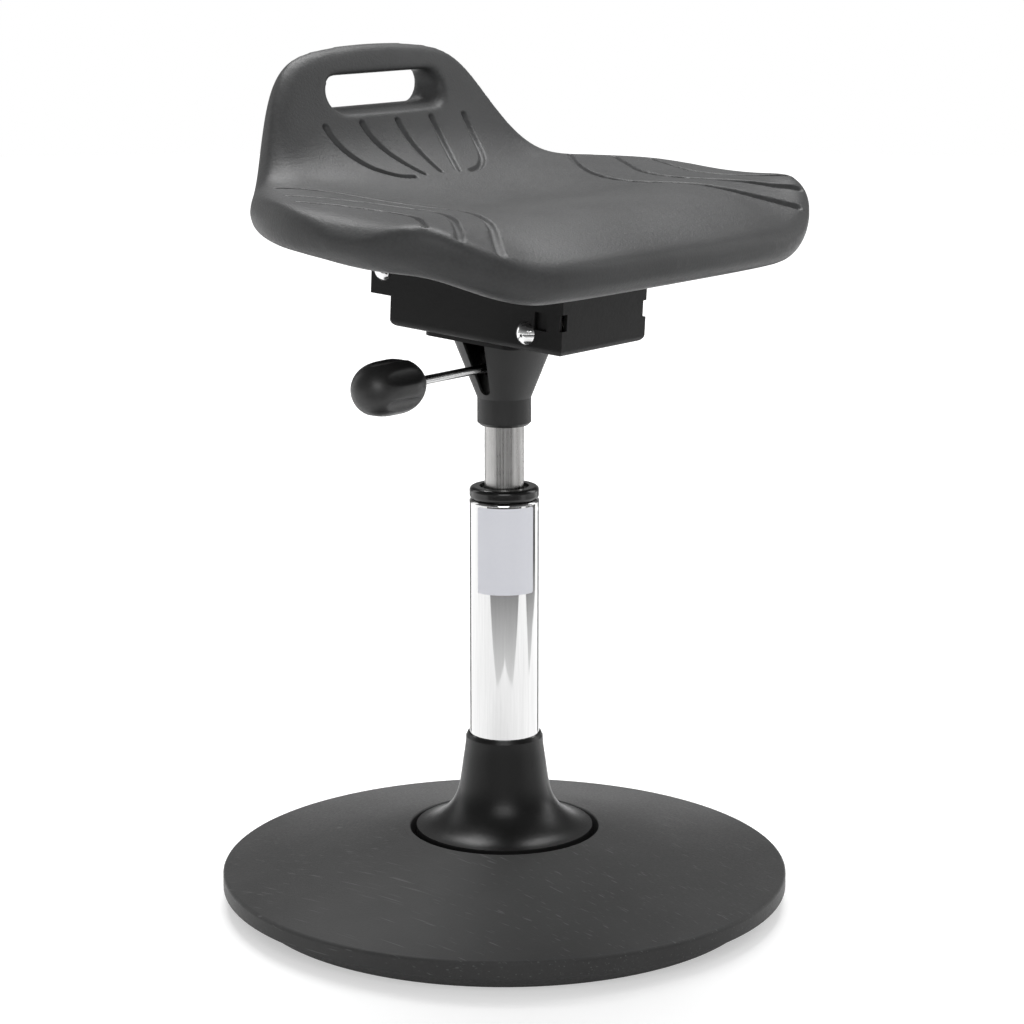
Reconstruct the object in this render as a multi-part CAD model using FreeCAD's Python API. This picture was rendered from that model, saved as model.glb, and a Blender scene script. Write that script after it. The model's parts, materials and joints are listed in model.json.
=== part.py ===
import FreeCAD, Part
import math
import os

from FreeCAD import Vector

# Wobble stool. Millimetres, +Z up, origin on the column axis at floor level.
# The seat's front is towards -Y and the lever is at -X.

# The two sizes that most others follow
base_radius = 203.0
tray_height = 412.5

# Base
rim_bottom = 13.0
rim_top = 24.3
rim_edge_radius = 2.5
cover_hole_radius = 67.8
cover_hole_height = 53.4
cover_wall = 4.5
cover_collar_bottom = 34.0
cover_boss_circle = 0.6 * base_radius
cover_boss_radius = 8.0
cover_boss_count = 6
screw_radius = 2.5
screw_head_radius = 5.0
screw_head_height = 3.0
screw_length = 16.0
plate_bottom = 6.0
plate_thickness = 8.0
plate_radius = base_radius - 15.0
foot_outer_radius = base_radius - 19.0
foot_inner_radius = base_radius - 31.0
foot_wall_gap = 0.3
pivot_height = 30.0
ball_radius = 12.0
stud_neck_radius = 7.0
stud_shank_radius = 6.0
stud_neck_height = 6.0
stud_shoulder = 3.0
nut_width = 19.0
nut_height = 4.6
nut_washer_height = 0.9
nut_washer_overlap = 2.0
liner_wall = 1.9
buffer_inner_radius = 30.0
buffer_outer_radius = 52.0
running_gap = 0.05
tight_gap = 0.02
# How far a cutting tool runs past the face that it cuts
past = 1.0
hub_flange_drop = 2.0
ball_cage_inset = 1.0
ball_cage_thickness = 1.6
washer_play = 1.0
bumper_inset = 4.0
piston_ring_depth = 1.5
piston_ring_width = 2.0
pressure_chamfer = 1.0
release_pin_play = 0.5
sleeve_chamfer = 2.0
lever_eye_play = 1.5
# How far the cone is made past the tray's underside before it is cut flush
cone_spare = 2.0

# Column
hub_flange_radius = 54.0
hub_flange_thickness = 6.0
hub_boss_radius = 24.0
hub_boss_drop = 8.0
hub_spigot_top = 66.0
socket_ring_height = 5.0
socket_ring_radius = 19.0
tube_radius = 25.0
tube_wall = 2.5
tube_top = 294.0
tube_roll = 2.0
skirt_top = 123.0
skirt_grip = 22.0
skirt_wall = 2.5
skirt_lip_radius = 63.4
skirt_lip_top = 54.2
skirt_lip_bottom = 47.0
skirt_draw = 1.4
skirt_stations = 14
# The skirt's flare, as (share of the way out to the lip, share of the height)
skirt_flare = [(0.04, 1.0), (0.095, 0.73), (0.15, 0.51), (0.27, 0.29), (0.56, 0.105), (1.0, 0.0)]
collar_radius = 24.7
collar_height = 9.0
collar_bore = 17.5
collar_rim_radius = 3.0
collar_skirt = 2.0
bush_top_drop = 3.0
bush_flange_drop = 6.0
bush_length = 66.0
bush_chamfer = 1.0
floor_bottom = 78.0
floor_thickness = 6.0

# Gas spring
rod_radius = 5.0
rod_clip_radius = 8.0
rod_clip_thickness = 1.5
rod_groove_depth = 1.0
groove_play = 0.1
clip_gap = 0.3
rod_end_drop = 6.0
bearing_inner_radius = 7.0
bearing_outer_radius = 16.0
bearing_washer_thickness = 1.5
bearing_ball_radius = 2.0
bearing_ball_count = 10
bumper_height = 4.0
piston_height = 10.0
pressure_radius = 14.0
pressure_wall = 1.5
lift_down = 40.0
lift_up = 90.0
end_guide_height = 10.0
seal_height = 4.0
valve_height = 28.0
release_pin_radius = 2.0
release_pin_length = 25.0
release_pin_travel = 2.0
lift_clearance = 1.0

# Taper sleeve, cone and lever
sleeve_drop = 65.5
sleeve_shoulder_drop = 46.0
sleeve_radius = 19.0
sleeve_neck_radius = 16.6
sleeve_top_drop = 14.5
spring_top_drop = 32.5
cone_slope = 0.40
cone_wall = 2.4
cone_slot_drop = 42.5
cone_slot_width = 9.0
cone_slot_mouth = 21.0
lever_drop = 23.2
lever_radius = 3.15
lever_tip = 5.0
lever_pivot = 13.0
lever_eye_radius = 4.5
lever_eye_width = 7.5
lever_pin_radius = 2.0
lever_pin_length = 19.0
lever_reach = 128.0
lever_slot_width = 8.2
pin_contact_gap = 0.3
knob_start = 96.0
knob_end = 152.5
knob_radius = 19.0
knob_flutes = 6
knob_flute_radius = 11.0
knob_flute_depth = 1.7

# Seat mechanism, built level and then tipped forward about the column axis
seat_tilt = 3.0
sheet = 2.5
tray_half_width = 47.3
tray_front = 86.3
tray_rear = 64.5
tray_depth = 46.0
tray_front_depth = 44.0
tray_bend_radius = 5.0
tray_corner_slot = (5.0, 17.5, 29.0)
tray_side_slot = (62.6, 73.1, 16.0, 28.2)
mount_plate_size = (84.0, 80.0)
mount_plate_thickness = 3.0
mount_plate_corner = 8.0
bolt_radius = 4.0
bolt_head_radius = 6.5
bolt_head_height = 4.5
flange_bolt_places = (33.0, 26.0)
axle_place = (-55.1, 12.4)
axle_radius = 5.0
cap_radius = 7.9
cap_height = 4.6
bush_wall = 1.5
bush_flange_radius = 6.5
bush_flange_thickness = 1.0
channel_gap = 0.5
channel_front = -76.0
channel_rear = 85.5
channel_roof = 54.5
channel_rear_bottom = 20.5
channel_lug_bottom = 5.0
channel_lug_reach = (14.0, 12.0)
channel_front_lip = 14.0
channel_bend_radius = 3.0
cross_pin_place = (75.1, 37.6)
cross_pin_radius = 4.0
cross_cap_radius = 7.4
spacer_wall = 3.0
tilt_buffer_places = (20.0, 46.0)
tilt_buffer_radius = 14.0
tilt_buffer_waist = 11.0
insert_size = (150.0, 190.0)
insert_thickness = 3.0
insert_corner = 12.0
insert_pocket_depth = 2.0
seat_bolt_places = ((-45.0, 30.0), (10.0, 30.0))

# Seat
seat_half_width = 222.5
seat_front = 156.5
seat_rear = 128.5
seat_side_line = 50.0
seat_thickness = 30.0
seat_side_round = 20.0
seat_end_flat = 0.5
seat_edge_room = 130.0
seat_front_corner = (4.0, 0.385)
seat_rear_corner = (2.93, 0.50)
seat_front_hang = 4.0
pan_stations = 8
# Places of the cross sections, as shares of the half width
seat_sections = (0, 0.18, 0.34, 0.43, 0.495, 0.55, 0.608, 0.676, 0.775, 0.878, 0.935, 0.975)
# Where the sides' line takes over from the middle's, as shares of the half width:
# on the pan, how much further out that is at the front, and on the underside
side_takes_over = (0.11, 0.83)
side_front_shift = (0.49, 0.23)
side_underneath = (0.49, 0.90)
front_zone = (-125.0, -60.0)
shift_zone = (-125.0, -10.0)
hang_zone = (-100.0, 60.0)
grip_rise = 91.5
grip_crown = 9.0
grip_crown_half_width = 94.0
grip_blend = (0.364, 0.697)
grip_lean = 1.65
hole_height = 162.8
hole_throat = (120.0, 23.0)
hole_mouth = (127.5, 32.0)
hole_mouth_rise = 2.5
hole_mouth_reach = 14.0
hole_mouth_flare = 1.5
hole_faces = (106.5, 135.2)
# How the mouth widens, as (depth under the face, share of the way from throat to mouth)
hole_mouth_form = [(8, 0.0), (4.5, 0.1), (1.5, 0.42), (0.0, 1.0)]

# Heights of the seat are above the tray's floor. Its top, from front to back as
# (y, height), along its middle and along its sides
middle_line = [(-146, 75.5), (-128, 83), (-105, 91.8), (-76, 95.9), (-45, 93.0),
               (-10, 90.5), (25, 93.5), (58, 108.1)]
side_line = [(-150, 104.5), (-105, 100.3), (-45, 101), (-10, 104), (25, 106.2), (58, 107.8)]
# The back's section through its middle, over the crest and down to the underside
back_section = [(58, 108.1), (80, 123), (96, 139.5), (105, 158.5), (110.8, 179.5), (115.5, 191),
                (124, 197), (132, 191.5), (135.5, 177.5), (135, 149.5), (132.5, 119.5),
                (129, 93.5), (120, 80.5)]
# The wing's rear edge, as steps back from its outline and down from its top
rear_edge = [(46, 0), (38, 0), (31, 0), (25, 0), (19, 0), (15, 0.2), (11, 1), (7, 3),
             (3, 7), (0, 14.5), (1, 21), (5, 27), (14, 30)]
front_edge = [(22, 32.5), (12, 31.2), (5, 27.6), (1, 21), (0, 14), (2, 8), (6.5, 3.5),
              (13, 1), (21, 0.2), (32, 0)]

x_axis = Vector(1, 0, 0)
y_axis = Vector(0, 1, 0)
z_axis = Vector(0, 0, 1)


def turned(profile, axis=z_axis):
    """Solid of revolution of a closed (radius, height) outline."""
    points = [Vector(r, 0, z) for r, z in profile]
    face = Part.Face(Part.makePolygon(points + points[:1]))
    return face.revolve(Vector(0, 0, 0), axis, 360)


def ring(inner, outer, bottom, top):
    return turned([(inner, bottom), (outer, bottom), (outer, top), (inner, top)])


def disc(radius, bottom, top):
    return Part.makeCylinder(radius, top - bottom, Vector(0, 0, bottom))


def block(x0, x1, y0, y1, z0, z1):
    return Part.makeBox(x1 - x0, y1 - y0, z1 - z0, Vector(x0, y0, z0))


def rod_along_x(radius, x0, x1, y, z):
    return Part.makeCylinder(radius, x1 - x0, Vector(x0, y, z), x_axis)


def curve(points, start=None, end=None):
    line = Part.BSplineCurve()
    places = [Vector(*p) for p in points]
    if start and end:
        line.interpolate(Points=places, InitialTangent=Vector(*start), FinalTangent=Vector(*end))
    else:
        line.interpolate(Points=places)
    return line.toShape()


def straight(*points):
    return [Part.makeLine(Vector(*a), Vector(*b)) for a, b in zip(points, points[1:])]


def four_ways(shape, x, y):
    """Copies of a shape at the four places (+-x, +-y)."""
    return [shape.translated(Vector(sx * x, sy * y, 0)) for sx in (-1, 1) for sy in (-1, 1)]


def around(shape, count, first=0.0):
    return [shape.rotated(Vector(0, 0, 0), z_axis, first + 360.0 * i / count)
            for i in range(count)]


def tipped(shape):
    """Puts a piece of the level mechanism in place: tips it and lifts it."""
    return shape.rotated(Vector(0, 0, 0), x_axis, seat_tilt).translated(Vector(0, 0, tray_height))


def hexagon(width, bottom, height):
    radius = width / math.sqrt(3)
    corners = [Vector(radius * math.cos(math.radians(60 * i)), radius * math.sin(math.radians(60 * i)),
                      bottom) for i in range(7)]
    return Part.Face(Part.makePolygon(corners)).extrude(Vector(0, 0, height))


def screw(radius, length, head_radius, head_height):
    """Screw along +Z, its head below the origin plane."""
    return disc(head_radius, -head_height, 0).fuse(disc(radius, 0, length)).removeSplitter()


# Base

plate_top = plate_bottom + plate_thickness


def over(radius):
    """Height of the cover's top at a radius."""
    slope = (cover_hole_height - rim_top) / (base_radius - cover_hole_radius)
    return rim_top + slope * (base_radius - radius)


def base_cover():
    def under(radius):
        return over(radius) - cover_wall

    inner_rim = base_radius - cover_wall
    collar = cover_hole_radius + cover_wall
    shell = turned([(base_radius, rim_bottom), (base_radius, rim_top),
                    (collar, over(collar)), (collar, under(collar)),
                    (inner_rim, under(inner_rim)), (inner_rim, rim_bottom)])
    edges = [e for e in shell.Edges
             if abs(e.BoundBox.XMax - base_radius) < 0.01 and abs(e.BoundBox.ZMin - rim_top) < 0.01]
    shell = shell.makeFillet(rim_edge_radius, edges)
    boss_top = under(cover_boss_circle) + cover_wall / 2
    boss = Part.makeCylinder(cover_boss_radius, boss_top - plate_top,
                             Vector(cover_boss_circle, 0, plate_top))
    hole = Part.makeCylinder(screw_radius, screw_length,
                             Vector(cover_boss_circle, 0, plate_bottom))
    shell = shell.fuse(around(boss, cover_boss_count))
    return shell.cut(around(hole, cover_boss_count)).removeSplitter()


def cover_collar():
    outside = cover_hole_radius + cover_wall - running_gap
    body = turned([(cover_hole_radius, cover_hole_height), (cover_hole_radius, cover_collar_bottom),
                   (outside, cover_collar_bottom), (outside, over(outside))])
    lips = [e for e in body.Edges
            if abs(e.BoundBox.XMax - cover_hole_radius) < 0.01
            and abs(e.BoundBox.ZMin - cover_hole_height) < 0.01 and e.BoundBox.ZLength < 0.01]
    return body.makeFillet(cover_wall / 4, lips)


def base_plate():
    plate = disc(plate_radius, plate_bottom, plate_top)
    plate = plate.cut(disc(stud_shank_radius + running_gap, 0, plate_top))
    clear = Part.makeCylinder(screw_radius + running_gap, plate_thickness,
                              Vector(cover_boss_circle, 0, plate_bottom))
    sink = Part.makeCylinder(screw_head_radius + running_gap, screw_head_height,
                             Vector(cover_boss_circle, 0, plate_bottom))
    return plate.cut(around(clear.fuse(sink), cover_boss_count))


def foot_ring():
    wall = base_radius - cover_wall - foot_wall_gap
    return turned([(foot_inner_radius, 0), (foot_outer_radius, 0), (wall, rim_bottom),
                   (wall, plate_top), (plate_radius, plate_top), (plate_radius, plate_bottom),
                   (foot_inner_radius, plate_bottom)])


def cover_screws():
    one = screw(screw_radius, screw_length - screw_head_height, screw_head_radius, screw_head_height)
    one.translate(Vector(cover_boss_circle, 0, plate_bottom + screw_head_height))
    return Part.makeCompound(around(one, cover_boss_count))


def pivot_stud():
    ball = Part.makeSphere(ball_radius, Vector(0, 0, pivot_height))
    neck = disc(stud_neck_radius, plate_top, pivot_height)
    shoulder = disc(stud_neck_radius + stud_shoulder, plate_top, plate_top + stud_neck_height / 2)
    shank = disc(stud_shank_radius, plate_bottom - nut_washer_height - nut_height, plate_top)
    return ball.fuse([neck, shoulder, shank]).removeSplitter()


def stud_washer():
    return ring(stud_shank_radius + running_gap, nut_width / 2 + nut_washer_overlap, plate_bottom - nut_washer_height,
                plate_bottom)


def stud_nut():
    bottom = plate_bottom - nut_washer_height - nut_height
    nut = hexagon(nut_width, bottom, nut_height)
    return nut.cut(disc(stud_shank_radius + running_gap, 0, plate_bottom))


def rubber_buffer():
    top = pivot_height - 2.0
    middle = (plate_top + top) / 2
    waist = (buffer_outer_radius - buffer_inner_radius) / 10
    return turned([(buffer_inner_radius, plate_top), (buffer_outer_radius, plate_top),
                   (buffer_outer_radius - waist, middle), (buffer_outer_radius, top),
                   (buffer_inner_radius, top), (buffer_inner_radius + waist, middle)])


def ball_liner():
    inner = ball_radius + running_gap
    shell = Part.makeSphere(inner + liner_wall, Vector(0, 0, pivot_height))
    shell = shell.cut(Part.makeSphere(inner, Vector(0, 0, pivot_height)))
    return shell.cut(disc(2 * inner, 0, pivot_height - ball_radius / 2))


# Column

flange_bottom = pivot_height - hub_flange_drop
flange_top = flange_bottom + hub_flange_thickness
boss_bottom = pivot_height - hub_boss_drop
socket_radius = ball_radius + liner_wall + 2 * running_gap
tube_bore = tube_radius - tube_wall
floor_top = floor_bottom + floor_thickness
bearing_bottom = floor_top + bearing_washer_thickness
bearing_top = bearing_bottom + 2 * bearing_ball_radius + 2 * running_gap
washer_top = bearing_top + bearing_washer_thickness
bumper_top = washer_top + bumper_height
pressure_bottom = bumper_top + lift_down + lift_clearance
pressure_bore = pressure_radius - pressure_wall
piston_bottom = pressure_bottom + end_guide_height + seal_height + lift_up + lift_clearance
collar_top = tube_top + collar_height
bush_top = collar_top - bush_top_drop
bush_flange = tube_top - bush_flange_drop
sleeve_bottom = tray_height - sleeve_drop
sleeve_shoulder = tray_height - sleeve_shoulder_drop
sleeve_top = tray_height - sleeve_top_drop
spring_top = tray_height - spring_top_drop
cone_slot_bottom = tray_height - cone_slot_drop
lever_height = tray_height - lever_drop


def hub():
    body = turned([(0, boss_bottom), (hub_boss_radius, boss_bottom), (hub_boss_radius, flange_bottom),
                   (hub_flange_radius, flange_bottom), (hub_flange_radius, flange_top),
                   (tube_bore - running_gap, flange_top), (tube_bore - running_gap, hub_spigot_top),
                   (0, hub_spigot_top)])
    body = body.cut(Part.makeSphere(socket_radius, Vector(0, 0, pivot_height)))
    body = body.cut(disc(socket_radius, boss_bottom, pivot_height))
    return body.cut(disc(socket_ring_radius, boss_bottom, boss_bottom + socket_ring_height))


def socket_ring():
    body = disc(socket_ring_radius - running_gap, boss_bottom, boss_bottom + socket_ring_height)
    return body.cut(Part.makeSphere(socket_radius, Vector(0, 0, pivot_height)))


def stand_tube():
    tube = ring(tube_bore, tube_radius, flange_top, tube_top)
    rims = [e for e in tube.Edges
            if abs(e.BoundBox.XMax - tube_radius) < 0.01 and abs(e.BoundBox.ZMin - tube_top) < 0.01]
    return tube.makeFillet(tube_roll, rims)


def skirt():
    """Flared cover that grips the tube, its inside one wall in from its outside."""
    grip = tube_radius + running_gap
    neck = tube_radius + skirt_wall - skirt_draw
    lip, wall = skirt_lip_radius, skirt_wall
    height = skirt_top - skirt_lip_top - wall
    outer = curve([(neck + (lip - neck) * s, 0, skirt_lip_top + height * t) for s, t in skirt_flare],
                  (0.02, 0, -1), (1, 0, -0.12))
    first, last = outer.ParameterRange
    inner = []
    for i in range(skirt_stations + 1):
        at = first + (last - first) * i / skirt_stations
        run = outer.tangentAt(at)
        inner.append(outer.valueAt(at) + Vector(run.z, 0, -run.x) * wall)
    shelf = skirt_top - skirt_grip
    inner = [p for p in inner if p.z < shelf and p.x < lip - 2 * wall]
    inner.append(Vector(lip - wall, 0, skirt_lip_top - wall))
    crown = outer.valueAt(first)
    edges = straight((grip, 0, skirt_top), (crown.x - wall / 2, 0, skirt_top), crown)
    edges += [outer] + straight(outer.valueAt(last), (lip, 0, skirt_lip_bottom),
                                (lip - wall, 0, skirt_lip_bottom), inner[-1])
    edges += [curve(inner)] + straight(inner[0], (grip, 0, inner[0].z), (grip, 0, skirt_top))
    face = Part.Face(Part.Wire(Part.__sortEdges__(edges)))
    return face.revolve(Vector(0, 0, 0), z_axis, 360)


def collar():
    body = ring(collar_bore, collar_radius, tube_top, collar_top)
    rims = [e for e in body.Edges
            if abs(e.BoundBox.XMax - collar_radius) < 0.01 and e.BoundBox.ZLength < 0.01]
    body = body.makeFillet(collar_rim_radius, rims)
    plug = ring(tube_bore - collar_skirt, tube_bore - running_gap, bush_flange, tube_top)
    return body.fuse(plug).removeSplitter()


def guide_bush():
    bottom = tube_top - bush_length
    bore = pressure_radius + running_gap
    outer = tube_bore - running_gap
    neck = collar_bore - running_gap
    return turned([(bore, bottom), (outer, bottom), (outer, bush_flange), (neck, bush_flange),
                   (neck, bush_top), (bore + bush_chamfer, bush_top), (bore, bush_top - bush_chamfer)])


def tube_floor():
    return ring(rod_radius + 2 * running_gap, tube_bore, floor_bottom, floor_top)


# Bearing and gas spring

def bearing_washer(bottom, bore):
    return ring(bore, bearing_outer_radius, bottom, bottom + bearing_washer_thickness)


def ball_cage():
    middle = (bearing_bottom + bearing_top) / 2
    pitch = (bearing_inner_radius + bearing_outer_radius) / 2
    cage = ring(bearing_inner_radius, bearing_outer_radius - ball_cage_inset,
                middle - ball_cage_thickness / 2, middle + ball_cage_thickness / 2)
    pocket = Part.makeSphere(bearing_ball_radius + running_gap, Vector(pitch, 0, middle))
    ball = Part.makeSphere(bearing_ball_radius, Vector(pitch, 0, middle))
    cage = cage.cut(around(pocket, bearing_ball_count))
    return Part.makeCompound([cage] + around(ball, bearing_ball_count))


clip_top = floor_bottom - clip_gap
groove = (clip_top - rod_clip_thickness - groove_play, clip_top + groove_play)


def piston_rod():
    neck = rod_radius - rod_groove_depth
    top = piston_bottom + piston_height / 2
    bottom = groove[0] - rod_end_drop / 2
    return turned([(0, bottom), (rod_radius, bottom), (rod_radius, groove[0]), (neck, groove[0]),
                   (neck, groove[1]), (rod_radius, groove[1]), (rod_radius, top), (0, top)])


def rod_clip():
    neck = rod_radius - rod_groove_depth + running_gap
    clip = ring(neck, rod_clip_radius, clip_top - rod_clip_thickness, clip_top)
    return clip.cut(block(0, 2 * rod_clip_radius, -neck / 2, neck / 2, 0, clip_top))


def rod_bumper():
    return ring(rod_radius + running_gap, bearing_outer_radius - bumper_inset, washer_top, bumper_top)


def piston_head():
    head = disc(pressure_bore - running_gap, piston_bottom, piston_bottom + piston_height)
    seat = disc(rod_radius, piston_bottom, piston_bottom + piston_height / 2)
    middle = piston_bottom + piston_height / 2
    groove_ring = ring(pressure_bore - piston_ring_depth, pressure_bore,
                       middle - piston_ring_width / 2, middle + piston_ring_width / 2)
    return head.cut(seat).cut(groove_ring)


def pressure_tube():
    edge = pressure_chamfer
    return turned([(pressure_bore, pressure_bottom + edge), (pressure_bore + edge, pressure_bottom),
                   (pressure_radius, pressure_bottom), (pressure_radius, spring_top - edge),
                   (pressure_radius - edge, spring_top), (pressure_bore, spring_top)])


def end_guide():
    bottom = pressure_bottom + pressure_chamfer
    return ring(rod_radius + running_gap, pressure_bore, bottom, pressure_bottom + end_guide_height)


def rod_seal():
    bottom = pressure_bottom + end_guide_height
    return ring(rod_radius + running_gap, pressure_bore, bottom, bottom + seal_height)


def valve_body():
    body = disc(pressure_bore, spring_top - valve_height, spring_top)
    pin_bottom = lever_height - lever_radius - pin_contact_gap - release_pin_length
    hole_bottom = pin_bottom - release_pin_travel - release_pin_play
    hole = disc(release_pin_radius + running_gap, hole_bottom, spring_top)
    return body.cut(hole)


def release_pin():
    top = lever_height - lever_radius - pin_contact_gap
    return disc(release_pin_radius, top - release_pin_length, top)


# Taper sleeve, cone and lever

def taper_sleeve():
    bore = pressure_radius + tight_gap
    chamfer = sleeve_chamfer
    body = turned([(bore, sleeve_bottom), (sleeve_radius - chamfer, sleeve_bottom),
                   (sleeve_radius, sleeve_bottom + chamfer), (sleeve_radius, sleeve_shoulder),
                   (sleeve_neck_radius, sleeve_shoulder), (sleeve_neck_radius, sleeve_top),
                   (bore, sleeve_top)])
    half = lever_slot_width / 2
    slot_bottom = lever_height - lever_eye_radius - lever_eye_play
    body = body.cut(block(-2 * sleeve_radius, 0, -half, half, slot_bottom, sleeve_top))
    pin_hole = Part.makeCylinder(lever_pin_radius, 4 * sleeve_radius,
                                 Vector(-lever_pivot, -2 * sleeve_radius, lever_height), y_axis)
    return body.cut(pin_hole)


def cone():
    top = tray_height + cone_spare
    wall = cone_wall
    start = sleeve_shoulder
    r_top = sleeve_radius + cone_slope * (top - start)
    bore = sleeve_neck_radius + running_gap
    body = turned([(bore, start), (sleeve_radius, start), (r_top, top), (r_top - wall, top),
                   (bore, start + (bore + wall - sleeve_radius) / cone_slope)])
    half = cone_slot_width / 2
    middle = cone_slot_bottom + half
    mouth = cone_slot_mouth / 2
    arc = Part.Arc(Vector(0, -half, middle), Vector(0, 0, cone_slot_bottom), Vector(0, half, middle))
    edges = [arc.toShape()] + straight((0, half, middle), (0, mouth, top), (0, mouth, top + cone_spare),
                                       (0, -mouth, top + cone_spare), (0, -mouth, top), (0, -half, middle))
    slot = Part.Face(Part.Wire(edges)).extrude(Vector(-3 * sleeve_radius, 0, 0))
    body = body.cut(slot)
    plane = tipped(block(-100, 100, -100, 100, -mount_plate_thickness, 100))
    return body.cut(plane)


def lever_rod():
    rod = rod_along_x(lever_radius, -lever_reach, lever_tip, 0, lever_height)
    eye = Part.makeCylinder(lever_eye_radius, lever_eye_width,
                            Vector(-lever_pivot, -lever_eye_width / 2, lever_height), y_axis)
    hole = Part.makeCylinder(lever_pin_radius + running_gap, 4 * lever_eye_width,
                             Vector(-lever_pivot, -2 * lever_eye_width, lever_height), y_axis)
    return rod.fuse(eye).cut(hole).removeSplitter()


def lever_pin():
    return Part.makeCylinder(lever_pin_radius - tight_gap / 2, lever_pin_length,
                             Vector(-lever_pivot, -lever_pin_length / 2, lever_height), y_axis)


def lever_knob():
    length = knob_end - knob_start
    # Shares of the knob's length and radius, from its neck to its domed end
    form = [(0.0, 0.52), (0.07, 0.74), (0.20, 0.92), (0.40, 1.0), (0.62, 0.97), (0.82, 0.80),
            (0.95, 0.46), (1.0, 0.0)]
    places = [(-knob_start - length * s, 0, knob_radius * r) for s, r in form]
    outline = curve(places, (-0.4, 0, 1), (0, 0, -1))
    edges = [outline] + straight(places[-1], (-knob_start, 0, 0), places[0])
    knob = Part.Face(Part.Wire(edges)).revolve(Vector(0, 0, 0), x_axis, 360)
    centre = knob_radius + knob_flute_radius - knob_flute_depth
    for i in range(knob_flutes):
        angle = 2 * math.pi * (i + 0.5) / knob_flutes
        knob = knob.cut(rod_along_x(knob_flute_radius, -knob_end, -knob_start + 1,
                                    centre * math.cos(angle), centre * math.sin(angle)))
    knob = knob.cut(rod_along_x(lever_radius + tight_gap, -lever_reach, 0, 0, 0))
    return knob.translated(Vector(0, 0, lever_height))


# Tray and what it carries, level until tipped

tray_inner = tray_half_width - sheet
channel_half_width = tray_inner - channel_gap


def mount_plate():
    x, y = mount_plate_size[0] / 2, mount_plate_size[1] / 2
    plate = block(-x, x, -y, y, -mount_plate_thickness, 0)
    plate = plate.makeFillet(mount_plate_corner, [e for e in plate.Edges if e.BoundBox.ZLength > 1])
    holes = four_ways(disc(bolt_radius, -mount_plate_thickness, 0), *flange_bolt_places)
    return tipped(plate.cut(holes))


def tray():
    w, f, r = tray_half_width, tray_front, tray_rear
    outer = block(-w, w, -f, r, 0, tray_depth)
    bottom = [e for e in outer.Edges if e.BoundBox.ZMax < 0.01]
    outer = outer.makeFillet(tray_bend_radius, bottom)
    inner = block(-w + sheet, w - sheet, -f + sheet, r + 2 * tray_bend_radius, sheet, tray_depth + past)
    bends = [e for e in inner.Edges
             if e.BoundBox.ZMax < sheet + 0.01 and (e.BoundBox.YLength > 1 or e.BoundBox.YMax < 0)]
    body = outer.cut(inner.makeFillet(tray_bend_radius - sheet, bends))
    body = body.cut(block(-w + sheet, w - sheet, -f - past, -f + sheet + past,
                          tray_front_depth, tray_depth + past))
    width, low, high = tray_corner_slot
    y0, y1, z0, z1 = tray_side_slot
    for side in (-1, 1):
        edge = sorted((side * (w - width), side * (w + past)))
        body = body.cut(block(edge[0], edge[1], -f - past, -f + sheet, low, high))
        wall = sorted((side * (w - sheet - past), side * (w + past)))
        body = body.cut(block(wall[0], wall[1], -y1, -y0, z0, z1))
    body = body.cut(rod_along_x(axle_radius, -w - past, w + past, *axle_place))
    holes = four_ways(disc(bolt_radius, -past, sheet + past), *flange_bolt_places)
    return tipped(body.cut(holes))


def flange_bolts():
    bolt = disc(bolt_radius - running_gap, -mount_plate_thickness, sheet)
    bolt = bolt.fuse(disc(bolt_head_radius, sheet, sheet + bolt_head_height)).removeSplitter()
    return tipped(Part.makeCompound(four_ways(bolt, *flange_bolt_places)))


def front_axle():
    return tipped(rod_along_x(axle_radius - running_gap, -tray_half_width, tray_half_width, *axle_place))


def domed_cap(radius, height, inside, place):
    """Two domed push caps on the ends of an axle, one on each side."""
    bulge = (radius ** 2 + height ** 2) / (2 * height)
    ball = Part.makeSphere(bulge, Vector(inside + height - bulge, place[0], place[1]))
    cap = ball.common(rod_along_x(radius, inside, inside + 2 * height, *place))
    return tipped(Part.makeCompound([cap, cap.mirror(Vector(0, 0, 0), x_axis)]))


def axle_caps():
    return domed_cap(cap_radius, cap_height, tray_half_width, axle_place)


def tilt_buffers():
    x, y = tilt_buffer_places
    top = channel_roof - sheet
    height = top - sheet
    edge, waist = tilt_buffer_radius, tilt_buffer_waist
    form = turned([(0, sheet), (edge, sheet), (edge, sheet + 0.12 * height), (waist, sheet + 0.35 * height),
                   (waist, sheet + 0.65 * height), (edge, sheet + 0.88 * height), (edge, top), (0, top)])
    return [tipped(form.translated(Vector(side * x, y, 0))) for side in (-1, 1)]


# Seat channel and what it carries

def seat_channel():
    w = channel_half_width
    front, rear, roof = channel_front, channel_rear, channel_roof
    lug_front = axle_place[0] - channel_lug_reach[0]
    lug_rear = axle_place[0] + channel_lug_reach[1]
    side = [(front, roof), (front, roof - channel_front_lip), (lug_front, channel_lug_bottom),
            (lug_rear, channel_lug_bottom), (0, channel_rear_bottom), (rear, channel_rear_bottom),
            (rear, roof)]
    points = [Vector(-w, y, z) for y, z in side]
    body = Part.Face(Part.makePolygon(points + points[:1])).extrude(Vector(2 * w, 0, 0))
    bends = [e for e in body.Edges if e.BoundBox.ZMin > roof - 0.01 and e.BoundBox.XLength < 0.01]
    body = body.makeFillet(channel_bend_radius, bends)
    body = body.cut(block(-w + sheet, w - sheet, front - past, rear + past, 0, roof - sheet))
    body = body.cut(rod_along_x(axle_radius + bush_wall + running_gap, -w - past, w + past, *axle_place))
    body = body.cut(rod_along_x(cross_pin_radius, -w - past, w + past, *cross_pin_place))
    for y, x in seat_bolt_places:
        for side_of in (-1, 1):
            body = body.cut(disc(bolt_radius, roof - sheet - past, roof + past)
                            .translated(Vector(side_of * x, y, 0)))
    return tipped(body)


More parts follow.
